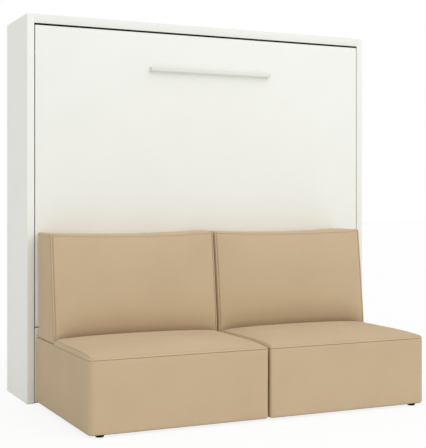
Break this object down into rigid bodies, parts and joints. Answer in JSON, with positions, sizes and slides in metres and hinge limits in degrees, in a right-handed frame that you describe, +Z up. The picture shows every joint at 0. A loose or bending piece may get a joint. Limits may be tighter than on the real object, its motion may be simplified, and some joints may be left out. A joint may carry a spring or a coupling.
{
  "type": "wall bed with sofa",
  "caption": "White cabinet whose large flush front swings down as a double bed over the seats of a beige two-module sofa standing in front of it.",
  "frame": {"origin": "on the floor, under the centre of the whole part's bounding box", "axes": "+X along the width, to the right as seen from in front; +Y from the sofa's front towards the wall; +Z up"},
  "size_m": [2.18, 1.38, 2.15],
  "materials": {
    "lacquer": "matt white lacquer on board",
    "handle_lacquer": "satin white lacquer on aluminium",
    "board": "white melamine-faced board",
    "zinc_steel": "zinc-plated pressed steel",
    "painted_steel": "dark grey powder coat",
    "polished_steel": "hard-chromed piston rod",
    "nylon": "natural nylon",
    "beech": "moulded beech ply",
    "ticking": "quilted white ticking",
    "webbing": "woven grey webbing",
    "upholstery": "beige fine plain weave",
    "black_plastic": "black moulded plastic"
  },
  "bodies": {
    "cabinet": {"side_panel_left": "lacquer", "side_panel_right": "lacquer", "top_panel": "lacquer", "lower_front": "lacquer", "floor_panel": "board", "back_panel": "board", "wall_rail_upper": "board", "wall_rail_lower": "board", "pivot_plate_left": "zinc_steel", "pivot_plate_right": "zinc_steel", "strut_mount_left": "zinc_steel", "strut_mount_right": "zinc_steel", "pivot_bush_left": "nylon", "pivot_bush_right": "nylon", "seat_base_left": "upholstery", "seat_base_right": "upholstery", "seat_cushion_left": "upholstery", "seat_cushion_right": "upholstery", "back_cushion_left": "upholstery", "back_cushion_right": "upholstery", "glide_left_front_left": "black_plastic", "glide_left_front_right": "black_plastic", "glide_left_rear_left": "black_plastic", "glide_left_rear_right": "black_plastic", "glide_right_front_left": "black_plastic", "glide_right_front_right": "black_plastic", "glide_right_rear_left": "black_plastic", "glide_right_rear_right": "black_plastic", "closed_stop_left": "black_plastic", "closed_stop_right": "black_plastic"},
    "bed": {"bed_front": "lacquer", "handle": "handle_lacquer", "frame_rail_left": "painted_steel", "frame_rail_right": "painted_steel", "frame_rail_head": "painted_steel", "frame_rail_foot": "painted_steel", "centre_beam": "painted_steel", "mattress": "ticking", "slat_01": "beech", "slat_02": "beech", "slat_03": "beech", "slat_04": "beech", "slat_05": "beech", "slat_06": "beech", "slat_07": "beech", "slat_08": "beech", "slat_09": "beech", "slat_10": "beech", "slat_11": "beech", "slat_12": "beech", "mattress_strap_left": "webbing", "mattress_strap_right": "webbing", "pivot_bracket_left": "zinc_steel", "pivot_bracket_right": "zinc_steel"},
    "strut_cylinder_left": {"strut_cylinder_left": "painted_steel"},
    "strut_rod_left": {"strut_rod_left": "polished_steel"},
    "strut_cylinder_right": {"strut_cylinder_right": "painted_steel"},
    "strut_rod_right": {"strut_rod_right": "polished_steel"}
  },
  "joints": [
    {"name": "bed_pivot", "type": "hinge", "parent": "cabinet", "child": "bed", "pos_m": [0, 0.34, 0.522], "axis": [1, 0, 0], "range_deg": [0, 90], "deforming": ["back_cushion_left", "back_cushion_right"]},
    {"name": "strut_left_swing", "type": "hinge", "parent": "cabinet", "child": "strut_cylinder_left", "pos_m": [0, 0.53, 1.122], "axis": [1, 0, 0], "range_deg": [0, 8.1]},
    {"name": "strut_left_stroke", "type": "slide", "parent": "strut_cylinder_left", "child": "strut_rod_left", "axis": [0, 0.2086, 0.978], "range_m": [0, 0.196]},
    {"name": "strut_right_swing", "type": "hinge", "parent": "cabinet", "child": "strut_cylinder_right", "pos_m": [0, 0.53, 1.122], "axis": [1, 0, 0], "range_deg": [0, 8.1]},
    {"name": "strut_right_stroke", "type": "slide", "parent": "strut_cylinder_right", "child": "strut_rod_right", "axis": [0, 0.2086, 0.978], "range_m": [0, 0.196]}
  ],
  "couplings": [
    {"joint": "strut_left_swing", "follows": "bed_pivot", "ratio": 0.0892},
    {"joint": "strut_left_stroke", "follows": "bed_pivot", "m_per_rad": 0.12444},
    {"joint": "strut_right_swing", "follows": "bed_pivot", "ratio": 0.0892},
    {"joint": "strut_right_stroke", "follows": "bed_pivot", "m_per_rad": 0.12444}
  ]
}
